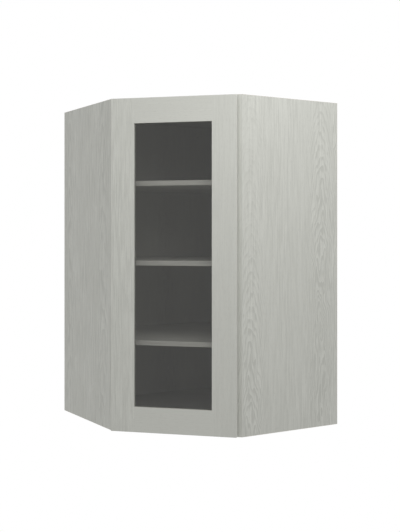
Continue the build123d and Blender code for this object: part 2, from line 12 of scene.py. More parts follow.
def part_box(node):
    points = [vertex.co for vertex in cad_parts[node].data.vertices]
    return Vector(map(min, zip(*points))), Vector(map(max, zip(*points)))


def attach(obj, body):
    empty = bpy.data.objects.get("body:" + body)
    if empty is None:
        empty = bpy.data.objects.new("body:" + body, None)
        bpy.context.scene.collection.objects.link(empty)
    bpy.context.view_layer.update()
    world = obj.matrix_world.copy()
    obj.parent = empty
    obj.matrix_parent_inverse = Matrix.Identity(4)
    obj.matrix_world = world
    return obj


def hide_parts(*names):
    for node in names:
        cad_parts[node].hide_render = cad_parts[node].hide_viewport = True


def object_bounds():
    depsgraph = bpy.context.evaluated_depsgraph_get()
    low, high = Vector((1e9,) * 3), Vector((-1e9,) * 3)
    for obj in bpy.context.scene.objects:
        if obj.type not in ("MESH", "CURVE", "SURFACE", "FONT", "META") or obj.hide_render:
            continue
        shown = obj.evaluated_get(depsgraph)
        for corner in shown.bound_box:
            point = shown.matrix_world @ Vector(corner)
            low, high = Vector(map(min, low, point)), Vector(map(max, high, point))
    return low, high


bl_info = {
    "name": "Corner wall cabinet",
    "version": (1, 0, 0),
    "blender": (4, 5, 0),
    "location": "3D View > Sidebar > Cabinet",
    "description": "Finishes a packed corner wall cabinet and sets up its studio",
    "category": "Object",
}

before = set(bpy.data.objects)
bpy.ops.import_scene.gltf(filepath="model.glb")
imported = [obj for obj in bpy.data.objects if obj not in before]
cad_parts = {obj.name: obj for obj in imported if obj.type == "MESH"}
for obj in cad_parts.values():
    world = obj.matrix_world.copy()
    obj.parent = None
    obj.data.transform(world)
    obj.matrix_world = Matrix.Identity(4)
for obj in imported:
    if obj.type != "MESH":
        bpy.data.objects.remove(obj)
CAD_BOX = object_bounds()

# Directions. The walls are the planes X = 0 and Y = 0, and the door faces OUT of the corner.
X_AXIS = Vector((1, 0, 0))
Y_AXIS = Vector((0, 1, 0))
UP = Vector((0, 0, 1))
ALONG = Vector((1, 1, 0)).normalized()
OUT = Vector((1, -1, 0)).normalized()

# How a board lies: across its grain, through its thickness and along its grain, right-handed
FRONT_UPRIGHT = (ALONG, -OUT, UP)
FRONT_LEVEL = (UP, OUT, ALONG)
FLAT = (-OUT, UP, ALONG)
UPRIGHT_ON_X = (Y_AXIS, -X_AXIS, UP)
UPRIGHT_ON_Y = (X_AXIS, Y_AXIS, UP)
LEVEL_ON_X = (UP, X_AXIS, Y_AXIS)
LEVEL_ON_Y = (-UP, Y_AXIS, X_AXIS)

SIDES = ("left", "right")
LEVELS = ("lower", "middle", "upper")
FRAME_BOARDS = ("left_stile", "right_stile", "top_rail", "bottom_rail")


def node_points(node):
    """All corners of a CAD node as an array of rows x, y, z."""
    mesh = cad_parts[node].data
    points = np.empty(len(mesh.vertices) * 3, np.float32)
    mesh.vertices.foreach_get("co", points)
    return points.reshape(-1, 3)


def extent(node, axes):
    """Lowest and highest place of a node along each of three axes."""
    places = node_points(node) @ np.array(axes).T
    return Vector(places.min(axis=0)), Vector(places.max(axis=0))


class PaintSettings(bpy.types.PropertyGroup):
    """The light grey painted wood of the door, sides and shelves."""

    light: FloatVectorProperty(
        name="Light grain", description="Paint colour between the growth rings",
        subtype="COLOR", size=3, min=0, max=1, default=(0.645, 0.651, 0.603),
    )
    dark: FloatVectorProperty(
        name="Dark grain", description="Paint colour on the growth rings",
        subtype="COLOR", size=3, min=0, max=1, default=(0.487, 0.492, 0.451),
    )
    pore: FloatVectorProperty(
        name="Pores", description="Colour at the bottom of the open pores",
        subtype="COLOR", size=3, min=0, max=1, default=(0.36, 0.36, 0.325),
    )
    # Lighter colour along the paint's edges: partly paint worn thin, partly a painted highlight for light
    # caught by the sharp edges
    rub_and_highlight: FloatVectorProperty(
        name="Rubbed and highlit edge", description="Colour where the paint is thin along an edge",
        subtype="COLOR", size=3, min=0, max=1, default=(0.68, 0.68, 0.63),
    )
    ring: FloatProperty(
        name="Ring spacing", description="Distance between growth rings",
        unit="LENGTH", min=0.001, default=0.0085,
    )
    # Reach of the lighter edges, both the worn paint and the painted highlight
    rub_and_highlight_width: FloatProperty(
        name="Rub width", description="How far the rubbed edges reach on to a face",
        unit="LENGTH", min=0, default=0.0022,
    )
    roughness: FloatProperty(
        name="Roughness", description="Sheen of the satin paint",
        subtype="FACTOR", min=0, max=1, default=0.5,
    )


class BareWoodSettings(bpy.types.PropertyGroup):
    """Unfinished wood behind and inside the cabinet."""

    light: FloatVectorProperty(
        name="Early wood", description="Softwood between the growth rings",
        subtype="COLOR", size=3, min=0, max=1, default=(0.68, 0.51, 0.32),
    )
    dark: FloatVectorProperty(
        name="Late wood", description="Softwood on the growth rings",
        subtype="COLOR", size=3, min=0, max=1, default=(0.5, 0.32, 0.165),
    )
    ply_light: FloatVectorProperty(
        name="Pale ply", description="Plies whose grain runs along a cut edge",
        subtype="COLOR", size=3, min=0, max=1, default=(0.6, 0.46, 0.3),
    )
    ply_dark: FloatVectorProperty(
        name="Dark ply", description="Plies cut across their grain, and glue lines",
        subtype="COLOR", size=3, min=0, max=1, default=(0.4, 0.27, 0.155),
    )
    ring: FloatProperty(
        name="Ring spacing", description="Distance between growth rings",
        unit="LENGTH", min=0.001, default=0.0055,
    )
    ply: FloatProperty(
        name="Ply", description="Thickness of one ply",
        unit="LENGTH", min=0.0005, default=0.00141,
    )
    roughness: FloatProperty(
        name="Roughness", description="Sheen of bare wood",
        subtype="FACTOR", min=0, max=1, default=0.72,
    )


class MetalSettings(bpy.types.PropertyGroup):
    """Hinges, springs, screws and shelf pins."""

    nickel: FloatVectorProperty(
        name="Nickel", description="Nickel plate on the hinges, screws and pins",
        subtype="COLOR", size=3, min=0, max=1, default=(0.62, 0.605, 0.57),
    )
    nickel_dark: FloatVectorProperty(
        name="Tarnish", description="Nickel plate that has dulled",
        subtype="COLOR", size=3, min=0, max=1, default=(0.44, 0.42, 0.385),
    )
    spring: FloatVectorProperty(
        name="Spring steel", description="Blued strip of the leaf springs",
        subtype="COLOR", size=3, min=0, max=1, default=(0.3, 0.31, 0.335),
    )
    roughness: FloatProperty(
        name="Roughness", description="Sheen of the plated metal",
        subtype="FACTOR", min=0, max=1, default=0.28,
    )


class GlassSettings(bpy.types.PropertyGroup):
    """The pane in the door and the soft dots behind it."""

    tint: FloatVectorProperty(
        name="Tint", description="Light that passes through the pane",
        subtype="COLOR", size=3, min=0, max=1, default=(0.67, 0.665, 0.655),
    )
    ior: FloatProperty(
        name="Index of refraction", description="Sets how strongly the pane mirrors its surroundings",
        min=1, max=2, default=1.425,
    )
    bumper: FloatVectorProperty(
        name="Bumper", description="Soft clear dots that stop the door",
        subtype="COLOR", size=3, min=0, max=1, default=(0.74, 0.74, 0.72),
    )


class StudioSettings(bpy.types.PropertyGroup):
    """Floor, lamps, surroundings and camera."""

    hang: FloatProperty(
        name="Hanging height", description="Lower edge of the cabinet above the floor",
        unit="LENGTH", min=0, default=1.37,
    )
    floor_reach: FloatProperty(
        name="Floor reach", description="Radius of the floor round the cabinet",
        unit="LENGTH", min=0.5, default=2.0,
    )
    floor: FloatVectorProperty(
        name="Floor", description="Colour of the plain pale floor",
        subtype="COLOR", size=3, min=0, max=1, default=(0.7, 0.7, 0.69),
    )
    floor_lift: FloatProperty(
        name="Floor lift", description="Brings the lit floor up to the white surroundings, for the eye alone",
        min=0, max=1, default=0.3,
    )
    fill: FloatProperty(
        name="Fill", description="Even light from all round",
        min=0, default=0.57,
    )
    key_place: FloatVectorProperty(
        name="Key place", description="Middle of the lamp at the right of the front",
        subtype="XYZ", unit="LENGTH", size=3, default=(1.6, -0.9, 1.5),
    )
    key_power: FloatProperty(
        name="Key power", description="Radiant power of the lamp at the right of the front, in watts",
        min=0, default=7.8,
    )
    key_size: FloatProperty(
        name="Key size", description="Side of the square lamp at the right of the front",
        unit="LENGTH", min=0.05, default=1.0,
    )
    side_place: FloatVectorProperty(
        name="Side place", description="Middle of the lamp beside the right-hand panel",
        subtype="XYZ", unit="LENGTH", size=3, default=(1.3, 0.4, 1.6),
    )
    side_power: FloatProperty(
        name="Side power", description="Radiant power of the lamp beside the right-hand panel, in watts",
        min=0, default=3.3,
    )
    side_size: FloatProperty(
        name="Side size", description="Side of the square lamp beside the right-hand panel",
        unit="LENGTH", min=0.05, default=0.8,
    )
    azimuth: FloatProperty(
        name="Camera azimuth", description="Turn of the camera round the cabinet, from facing the right wall",
        subtype="ANGLE", default=math.radians(58.958),
    )
    distance: FloatProperty(
        name="Camera distance", description="From the middle of the plan to the camera",
        unit="LENGTH", min=0.1, default=3.0975,
    )
    eye: FloatProperty(
        name="Camera height", description="Camera above the lower edge of the cabinet",
        unit="LENGTH", default=0.6342,
    )
    lens: FloatProperty(
        name="Lens", description="Focal length for a sensor 36 mm long, in millimetres",
        min=1, default=60.732,
    )
    shift: FloatVectorProperty(
        name="Lens shift", description="Places the cabinet in the frame, as shares of its long side",
        size=2, default=(0.00949, -0.06147),
    )


NODE_STEP = 190  # between nodes in the editor
MIX_FACTOR, MIX_FIRST, MIX_SECOND, MIX_RESULT = 0, 6, 7, 2  # sockets of a Mix node for colours
NUMBER, VECTOR, COLOUR = "NodeSocketFloat", "NodeSocketVector", "NodeSocketColor"
OPAQUE = 1.0
FULL = 1.0  # weight or strength of what is wholly there
WHITE = (1.0, 1.0, 1.0, OPAQUE)
HALF = 0.5  # middle of a noise or of a mask
SMOOTH, PLAIN, BROKEN, CLOUDY = 1.0, 2.0, 3.0, 4.0  # detail of a noise, in ever finer layers of lumps


class Marks(NamedTuple):
    """Marks that show where a noise is high."""

    stretch: tuple  # lumps per metre, for a board across, through and along its grain
    detail: float
    start: float  # height of the noise at which the marks begin
    end: float  # height at which they are full


class Pen:
    """Adds nodes to one node tree and hands back their output sockets."""

    def __init__(self, tree):
        self.tree = tree

    def add(self, kind, inputs=(), output=0, **settings):
        """A node with its settings, and its inputs by name or number, linked or set."""
        node = self.tree.nodes.new(kind)
        node.location.x = NODE_STEP * len(self.tree.nodes)
        for name, value in settings.items():
            setattr(node, name, value)
        self.feed(node.inputs, dict(inputs))
        return node.outputs[output]

    def feed(self, sockets, values):
        """Links each named socket to another one, or sets its value."""
        for name, value in values.items():
            if isinstance(value, bpy.types.NodeSocket):
                self.tree.links.new(value, sockets[name])
            else:
                sockets[name].default_value = value

    def maths(self, operation, *values):
        """One step of working with numbers."""
        return self.add("ShaderNodeMath", enumerate(values), operation=operation)

    def vectors(self, operation, *values):
        """One step of working with vectors."""
        output = "Value" if operation in ("DOT_PRODUCT", "LENGTH") else "Vector"
        return self.add("ShaderNodeVectorMath", enumerate(values), output, operation=operation)

    def split(self, vector):
        """The three parts of a vector."""
        node = self.add("ShaderNodeSeparateXYZ", {"Vector": vector}).node
        return node.outputs["X"], node.outputs["Y"], node.outputs["Z"]

    def noise(self, place, stretch, detail):
        """Noise from 0 to 1, with about as many lumps per metre along each axis as stretch says."""
        vector = self.vectors("MULTIPLY", place, stretch)
        return self.add("ShaderNodeTexNoise", {"Vector": vector, "Scale": 1.0, "Detail": detail}, "Fac")

    def sway(self, place, stretch, detail):
        """Noise that swings to both sides of zero."""
        return self.maths("SUBTRACT", self.noise(place, stretch, detail), HALF)

    def marks(self, place, marks):
        """1 on the given marks and 0 between them."""
        return self.fade(self.noise(place, marks.stretch, marks.detail), marks.start, marks.end)

    def fade(self, value, start, end):
        """0 at start and 1 at end, with a smooth step between them."""
        ends = {"Value": value, "From Min": start, "From Max": end}
        return self.add("ShaderNodeMapRange", ends, interpolation_type="SMOOTHSTEP")

    def spread(self, value, low, high):
        """Carries 0 to 1 over to low to high."""
        return self.add("ShaderNodeMapRange", {"Value": value, "To Min": low, "To Max": high})

    def total(self, shares):
        """Sum of values, each times its share, from pairs of both."""
        (value, share), *others = shares
        result = self.maths("MULTIPLY", value, share)
        for value, share in others:
            result = self.maths("MULTIPLY_ADD", value, share, result)
        return result

    def blend(self, factor, first, second):
        """Mixes two colours."""
        sockets = {MIX_FACTOR: factor, MIX_FIRST: first, MIX_SECOND: second}
        return self.add("ShaderNodeMix", sockets, MIX_RESULT, data_type="RGBA")

    def mix_shaders(self, factor, first, second):
        """Mixes two shaders."""
        return self.add("ShaderNodeMixShader", enumerate((factor, first, second)))

    def group(self, name, inputs):
        """Outputs of a node group placed with its own values."""
        node = self.add("ShaderNodeGroup", node_tree=bpy.data.node_groups[name]).node
        self.feed(node.inputs, inputs)
        return node.outputs

    def rays(self):
        """Masks of the kinds of ray that meet a surface."""
        return self.add("ShaderNodeLightPath").node.outputs


def rgba(colour):
    """A colour property as the four numbers that a socket takes."""
    return (*colour, OPAQUE)


def object_place(pen):
    """Object coordinates of the piece that wears the material."""
    return pen.add("ShaderNodeTexCoord", output="Object")


def seen_rays(pen):
    """1 for rays that the eye follows, straight or by way of mirrors and glass, and 0 for all others."""
    rays = pen.rays()
    seen = pen.maths("MAXIMUM", rays["Is Camera Ray"], rays["Is Glossy Ray"])
    return pen.maths("MAXIMUM", seen, rays["Is Transmission Ray"])


def start_group(name, inputs, outputs):
    """A new node group with the given sockets: its pen, its inputs and the sockets of its result."""
    tree = bpy.data.node_groups.new(name, "ShaderNodeTree")
    for socket_name, kind in inputs.items():
        tree.interface.new_socket(socket_name, in_out="INPUT", socket_type=kind)
    for socket_name, kind in outputs.items():
        tree.interface.new_socket(socket_name, in_out="OUTPUT", socket_type=kind)
    given = tree.nodes.new("NodeGroupInput").outputs
    result = tree.nodes.new("NodeGroupOutput").inputs
    return Pen(tree), given, result


SLIP = -0.52  # how far each leaf of veneer lies along from the one beside it, in metres
SEED_STEP = (3.71, 5.13, 2.39)  # moves each board's noise to a place of its own, in metres
BEND = 0.026  # how far the heart line wanders across a board, in metres
BEND_STRETCH = (6.0, 6.0, 4.0)
FLAME_STRETCH = (27.0, 27.0, 6.5)
JITTER = 0.9  # unevenness of the rings, in ring spacings
JITTER_STRETCH = (80.0, 80.0, 12.0)
HEART_NEAR, HEART_FAR = 0.018, 0.085  # distances from the heart between which its figure fades, in metres

# Shares of a year over which its dark late wood and its open early wood come and go
LATE_RISE, LATE_FALL = (0.25, 0.85), (1.0, 0.9)
EARLY_RISE, EARLY_FALL = (0.0, 0.08), (0.5, 0.2)

STREAKS = Marks((1500.0, 1500.0, 60.0), SMOOTH, 0.52, 0.68)
FIBRES = Marks((230.0, 230.0, 9.0), PLAIN, 0.36, 0.64)
PATCHES = Marks((16.0, 16.0, 4.0), PLAIN, 0.35, 0.65)
DASHES = Marks((235.0, 235.0, 20.0), SMOOTH, 0.41, 0.59)
TONES = Marks((9.0, 9.0, 1.1), PLAIN, 0.3, 0.7)

# Strength of the lines that colour the paint, where they are calm and where they are bold
RING_MIDDLE = 0.4  # share of late wood that leaves the paint at its middle colour
RING_CALM, RING_BOLD = 0.216, 1.2  # rings, far from the heart and by it
BREAK_CALM, BREAK_BOLD = 0.45, 1.4  # what is left of a ring line between its dashes and on them
DASH_CALM, DASH_BOLD = 0.1, 0.4  # dashes by themselves, far from the heart and by it
FIBRE_CALM, FIBRE_BOLD = 0.207, 0.46  # fibres, between the lively patches and in them


def make_grain_group():
    """Grain of veneer leaves sliced from a tapering trunk.

    The leaves lie side by side, each turned over like the next page of a book and slipped along, so
    the place across folds back and forth at a leaf's width. The heart of the trunk is a line below
    the leaf's face that wanders from side to side and dips along the leaf. A point's growth is its
    distance from the heart, plus the crowding times the square of that distance, plus the taper times
    the place along, plus the flame, a noise that throws the rings about close to the heart. Growth over
    the ring spacing, with some jitter, is the point's year. The rings are the late part of each year,
    and the pores are short streaks in its early part. The ring lines are bold by the heart, calm away
    from it and broken into dashes. The fibres' lines come in lively patches all over."""
    pen, given, result = start_group(
        "Wood grain",
        {"Place": VECTOR, "Leaf": NUMBER, "Heart": VECTOR, "Ring spacing": NUMBER, "Crowding": NUMBER,
         "Taper": NUMBER, "Flame": NUMBER, "Seed": NUMBER},
        dict.fromkeys(("Rings", "Pores", "Fibre", "Lines", "Heartwood", "Tone"), NUMBER),
    )
    across, depth, along = pen.split(given["Place"])
    leaf = pen.maths("FLOOR", pen.maths("DIVIDE", across, given["Leaf"]))
    across = pen.maths("PINGPONG", across, given["Leaf"])
    along = pen.maths("MULTIPLY_ADD", leaf, SLIP, along)
    place = pen.add("ShaderNodeCombineXYZ", enumerate((across, depth, along)))
    offset = pen.vectors("SCALE", SEED_STEP)
    pen.feed(offset.node.inputs, {"Scale": given["Seed"]})
    spot = pen.vectors("ADD", place, offset)

    heart_across, heart_depth, dip = pen.split(given["Heart"])
    wander = pen.maths("MULTIPLY_ADD", pen.sway(spot, BEND_STRETCH, SMOOTH), BEND, across)
    aside = pen.maths("SUBTRACT", wander, heart_across)
    below = pen.maths("MULTIPLY_ADD", along, dip, pen.maths("ADD", depth, heart_depth))
    square = pen.maths("MULTIPLY_ADD", aside, aside, pen.maths("MULTIPLY", below, below))
    radius = pen.maths("SQRT", square)
    heartwood = pen.fade(radius, HEART_FAR, HEART_NEAR)

    flame = pen.maths("MULTIPLY", pen.sway(spot, FLAME_STRETCH, PLAIN), given["Flame"])
    growth = pen.maths("MULTIPLY_ADD", flame, heartwood, radius)
    growth = pen.maths("MULTIPLY_ADD", square, given["Crowding"], growth)
    growth = pen.maths("MULTIPLY_ADD", along, given["Taper"], growth)
    years = pen.maths("DIVIDE", growth, given["Ring spacing"])
    years = pen.maths("MULTIPLY_ADD", pen.sway(spot, JITTER_STRETCH, SMOOTH), JITTER, years)
    year = pen.maths("FRACT", years)
    late = pen.maths("MULTIPLY", pen.fade(year, *LATE_RISE), pen.fade(year, *LATE_FALL))
    early = pen.maths("MULTIPLY", pen.fade(year, *EARLY_RISE), pen.fade(year, *EARLY_FALL))

    fibre = pen.marks(spot, FIBRES)
    dashes = pen.marks(spot, DASHES)
    ring_lines = pen.maths("SUBTRACT", late, RING_MIDDLE)
    ring_lines = pen.maths("MULTIPLY", ring_lines, pen.spread(heartwood, RING_CALM, RING_BOLD))
    dash_lines = pen.maths("SUBTRACT", dashes, HALF)
    fibre_lines = pen.maths("SUBTRACT", fibre, HALF)
    lines = pen.total((
        (ring_lines, pen.spread(dashes, BREAK_CALM, BREAK_BOLD)),
        (dash_lines, pen.spread(heartwood, DASH_CALM, DASH_BOLD)),
        (fibre_lines, pen.spread(pen.marks(spot, PATCHES), FIBRE_CALM, FIBRE_BOLD)),
    ))
    pores = pen.maths("MULTIPLY", early, pen.marks(spot, STREAKS))
    pen.feed(result, {"Rings": late, "Pores": pores, "Fibre": fibre, "Lines": lines})
    pen.feed(result, {"Heartwood": heartwood, "Tone": pen.marks(spot, TONES)})


# Breaks up the edge band: worn paint with its painted highlight, and grime on bare wood
EDGE_WEAR_AND_HIGHLIGHT_BREAKS = Marks((70.0, 70.0, 70.0), BROKEN, 0.35, 0.65)
EDGE_WEAR_AND_HIGHLIGHT_FADE = (1.0, 0.2)  # shares of the edge band's width between which the wear, grime or painted highlight comes in


def make_edge_group():
    """Edge band of a box-shaped board, for worn paint with a painted highlight or for grime. A point on
    a face is at distance zero from that face, so the middle one of its three distances to the nearest
    faces is its distance to the nearest edge. The band fades out at the given width, broken up by noise."""
    pen, given, result = start_group(
        "Edge wear and highlight",
        {"Place": VECTOR, "Size": VECTOR, "Width": NUMBER, "Seed": NUMBER},
        {"Wear and highlight": NUMBER},
    )
    rest = pen.vectors("SUBTRACT", given["Size"], given["Place"])
    first, second, third = pen.split(pen.vectors("MINIMUM", given["Place"], rest))
    lesser = pen.maths("MINIMUM", first, second)
    greater = pen.maths("MAXIMUM", first, second)
    edge = pen.maths("MAXIMUM", lesser, pen.maths("MINIMUM", greater, third))
    near = pen.fade(pen.maths("DIVIDE", edge, given["Width"]), *EDGE_WEAR_AND_HIGHLIGHT_FADE)
    spot = pen.vectors("ADD", given["Place"], given["Seed"])
    pen.feed(result, {"Wear and highlight": pen.maths("MULTIPLY", near, pen.marks(spot, EDGE_WEAR_AND_HIGHLIGHT_BREAKS))})


PLY_STREAKS = Marks((160.0, 160.0, 900.0), PLAIN, 0.3, 0.75)
PLY_TURN = (0.35, 0.65)  # shares of a ply between which pale turns to dark
STREAK_SHARE, LAYER_SHARE = 0.35, 0.65


def make_ply_group():
    """Cut edge of plywood. The depth below the face over the ply's thickness swings between 0 and 1,
    so plies are pale and dark in turn, and each ply has short streaks of its own."""
    pen, given, result = start_group(
        "Ply core",
        {"Place": VECTOR, "Ply": NUMBER, "Pale": COLOUR, "Dark": COLOUR},
        {"Colour": COLOUR},
    )
    _, depth, _ = pen.split(given["Place"])
    turn = pen.maths("PINGPONG", pen.maths("DIVIDE", depth, given["Ply"]), 1.0)
    layers = pen.fade(turn, *PLY_TURN)
    streaks = pen.marks(given["Place"], PLY_STREAKS)
    share = pen.total(((layers, LAYER_SHARE), (streaks, STREAK_SHARE)))
    pen.feed(result, {"Colour": pen.blend(share, given["Pale"], given["Dark"])})


BRUSHING = Marks((2600.0, 2600.0, 60.0), PLAIN, 0.3, 0.7)
DULLING = Marks((55.0, 55.0, 55.0), BROKEN, 0.38, 0.68)
SPECKS = Marks((900.0, 900.0, 900.0), SMOOTH, 0.62, 0.72)


def make_metal_group():
    """Plated metal: fine lines left by polishing along one axis, broad dulled patches and specks."""
    looks = {"Lines": BRUSHING, "Dull": DULLING, "Specks": SPECKS}
    pen, given, result = start_group("Plated metal", {"Place": VECTOR}, dict.fromkeys(looks, NUMBER))
    for name, marks in looks.items():
        pen.feed(result, {name: pen.marks(given["Place"], marks)})


def start_material(name):
    """A new material with a Principled shader: the material, its pen and the shader."""
    material = bpy.data.materials.new(name)
    material.use_nodes = True
    return material, Pen(material.node_tree), material.node_tree.nodes["Principled BSDF"]


def add_relief(pen, shader, height, depth, strength):
    """Bumps a surface by a height of 0 to 1 that stands for a depth in metres."""
    bump = pen.add("ShaderNodeBump", {"Height": height, "Distance": depth, "Strength": strength})
    pen.feed(shader.inputs, {"Normal": bump})


def dress(node, material):
    """Gives a CAD node its material."""
    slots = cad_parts[node].data.materials
    slots.clear()
    slots.append(material)


WHOLE_LEAF = 2.0  # wider than any board, for wood in one piece, in metres
SIDE_LEAF = 0.185  # width of the veneer leaves on the side panels, in metres
INSIDE = 0.4  # contrast of the grain on the boards inside


class Board(NamedTuple):
    """How the grain of one board lies."""

    axes: tuple  # across the grain, through the board and along the grain
    heart: tuple  # the trunk's heart: place across and depth in metres, and its dip along the grain
    seed: float
    contrast: float = 1.0  # of the ring lines and fibre lines
    leaf: float = WHOLE_LEAF


BOARDS = {
    "left_side_panel": Board(UPRIGHT_ON_Y, (0.05, 0.06, 0.0), seed=1.3, contrast=1.3, leaf=SIDE_LEAF),
    "right_side_panel": Board(UPRIGHT_ON_X, (0.045, 0.018, 0.085), seed=2.6, leaf=SIDE_LEAF),
    "top_deck": Board(FLAT, (0.2, 0.05, 0.03), seed=3.1, contrast=INSIDE),
    "bottom_deck": Board(FLAT, (0.2, 0.05, 0.03), seed=4.7, contrast=INSIDE),
    "left_back_panel": Board(UPRIGHT_ON_X, (0.4, 0.02, 0.05), seed=5.9, contrast=INSIDE),
    "right_back_panel": Board(UPRIGHT_ON_Y, (0.25, 0.02, 0.04), seed=6.4, contrast=INSIDE),
    "left_lower_hanging_rail": Board(LEVEL_ON_X, (0.02, 0.03, 0.03), seed=7.3),
    "left_upper_hanging_rail": Board(LEVEL_ON_X, (0.05, 0.03, 0.03), seed=8.3),
    "right_lower_hanging_rail": Board(LEVEL_ON_Y, (0.02, 0.03, 0.03), seed=9.3),
    "right_upper_hanging_rail": Board(LEVEL_ON_Y, (0.05, 0.03, 0.03), seed=10.3),
    "left_corner_cleat": Board(UPRIGHT_ON_X, (0.04, 0.02, 0.05), seed=11.2),
    "right_corner_cleat": Board(UPRIGHT_ON_Y, (0.04, 0.02, 0.05), seed=12.2),
    "frame_left_stile": Board(FRONT_UPRIGHT, (0.06, 0.05, 0.02), seed=13.1),
    "frame_right_stile": Board(FRONT_UPRIGHT, (0.06, 0.05, 0.02), seed=14.1),
    "frame_top_rail": Board(FRONT_LEVEL, (-0.03, 0.05, 0.02), seed=15.4),
    "frame_bottom_rail": Board(FRONT_LEVEL, (-0.03, 0.05, 0.02), seed=16.4),
    "lower_shelf": Board(FLAT, (0.1, 0.03, 0.04), seed=17.2, contrast=1.3),
    "middle_shelf": Board(FLAT, (0.22, 0.03, 0.04), seed=18.2, contrast=1.3),
    "upper_shelf": Board(FLAT, (0.34, 0.03, 0.04), seed=19.2, contrast=1.3),
    "door_left_stile": Board(FRONT_UPRIGHT, (-0.15, 0.03, 0.02), seed=21.6, contrast=1.1),
    "door_right_stile": Board(FRONT_UPRIGHT, (0.25, 0.03, 0.02), seed=22.8, contrast=0.4),
    "door_top_rail": Board(FRONT_LEVEL, (-0.03, 0.04, 0.03), seed=23.5, contrast=0.2),
    "door_bottom_rail": Board(FRONT_LEVEL, (0.12, 0.04, 0.03), seed=24.9, contrast=0.2),
    "bottom_glazing_bead": Board(FRONT_LEVEL, (0.03, 0.03, 0.02), seed=26.3),
    "top_glazing_bead": Board(FRONT_LEVEL, (0.03, 0.03, 0.02), seed=27.3),
    "left_glazing_bead": Board(FRONT_UPRIGHT, (0.03, 0.03, 0.02), seed=28.3),
    "right_glazing_bead": Board(FRONT_UPRIGHT, (0.03, 0.03, 0.02), seed=29.3),
}


def board_place(pen, node, axes):
    """Object coordinates turned to a board's axes, from its lowest corner, and the board's size."""
    low, high = extent(node, axes)
    turn = Matrix(axes).to_euler("XYZ")
    inputs = {"Vector": object_place(pen), "Location": -low, "Rotation": turn}
    return pen.add("ShaderNodeMapping", inputs), high - low


SKIN = 0.0002  # a face within this distance of a cut plane is unpainted, in metres


def cut_mask(pen, cuts):
    """1 on the faces that lie in the given cut planes, each a normal and its distance from zero."""
    place = object_place(pen)
    mask = None
    for normal, reach in cuts:
        height = pen.vectors("DOT_PRODUCT", place, normal)
        on_plane = pen.maths("GREATER_THAN", height, reach - SKIN)
        mask = on_plane if mask is None else pen.maths("MAXIMUM", mask, on_plane)
    return mask


GRAIN_DEPTH = 0.0002  # height of the grain's relief, in metres
GRAIN_STRENGTH = 0.35
BARE_FLAME = 0.012  # how far bare wood's rings beside the heart are thrown about, in metres
BARE_RINGS, BARE_FIBRE, BARE_TONE = 0.6, 0.2, 0.2  # shares of the dark colour that each brings to bare wood
BARE_SHEEN = 0.1  # how much smoother bare wood is between its fibres
GRIME_WIDTH, GRIME_STRENGTH = 0.003, 0.35  # dark edges of bare wood: their reach in metres and their share


def bare_wood(pen, bare, place, heart, ring, seed):
    """Colour and grain of unpainted wood, light between the rings and dark on them."""
    grain = pen.group(
        "Wood grain",
        {"Place": place, "Leaf": WHOLE_LEAF, "Heart": heart, "Ring spacing": ring, "Flame": BARE_FLAME,
         "Seed": seed},
    )
    share = pen.total(
        ((grain["Rings"], BARE_RINGS), (grain["Fibre"], BARE_FIBRE), (grain["Tone"], BARE_TONE))
    )
    return pen.blend(share, rgba(bare.light), rgba(bare.dark)), grain


def bare_board(context, node):
    """Planed softwood on one board, with strong rings and dark edges."""
    bare = context.scene.cabinet_bare_wood
    board = BOARDS[node]
    material, pen, shader = start_material(f"{node}_softwood")
    place, size = board_place(pen, node, board.axes)
    colour, grain = bare_wood(pen, bare, place, board.heart, bare.ring, board.seed)
    edges = pen.group("Edge wear and highlight", {"Place": place, "Size": size, "Width": GRIME_WIDTH, "Seed": board.seed})
    colour = pen.blend(pen.maths("MULTIPLY", edges["Wear and highlight"], GRIME_STRENGTH), colour, rgba(bare.dark))
    dullness = pen.spread(grain["Fibre"], bare.roughness - BARE_SHEEN, bare.roughness)
    pen.feed(shader.inputs, {"Base Color": colour, "Roughness": dullness})
    add_relief(pen, shader, grain["Rings"], GRAIN_DEPTH, GRAIN_STRENGTH)
    dress(node, material)


PAINT_FLAME = 0.075  # how far the painted wood's rings beside the heart are thrown about, in metres
CROWDING = 6.0  # how the painted wood's rings crowd together away from the heart, per metre
TAPER = 0.08  # how fast the painted wood's trunk narrows along its length
MIDDLE_SHARE = 0.53  # share of the dark colour in plain paint
HEART_SHARE, TONE_SHARE = 0.26, 0.1  # how much the heartwood and the broad tones change it
PORE_STRENGTH = 0.45
# Share of the lighter edge colour, which is partly worn paint and partly a painted highlight
RUB_AND_HIGHLIGHT_STRENGTH = 0.35
TONE_SMOOTHER, TONE_ROUGHER = 0.05, 0.06  # how far the broad tones change the roughness each way
PORE_ROUGHER = 0.2
PORE_SINK, RING_RISE, FIBRE_RISE = -1.0, 0.5, 0.25  # shares of the relief
VENEER_DIP = 0.12  # how far the heart line dips below the ply's unpainted faces per metre
VENEER_RING = 0.011  # ring spacing of the ply's unpainted faces, peeled round the trunk, in metres


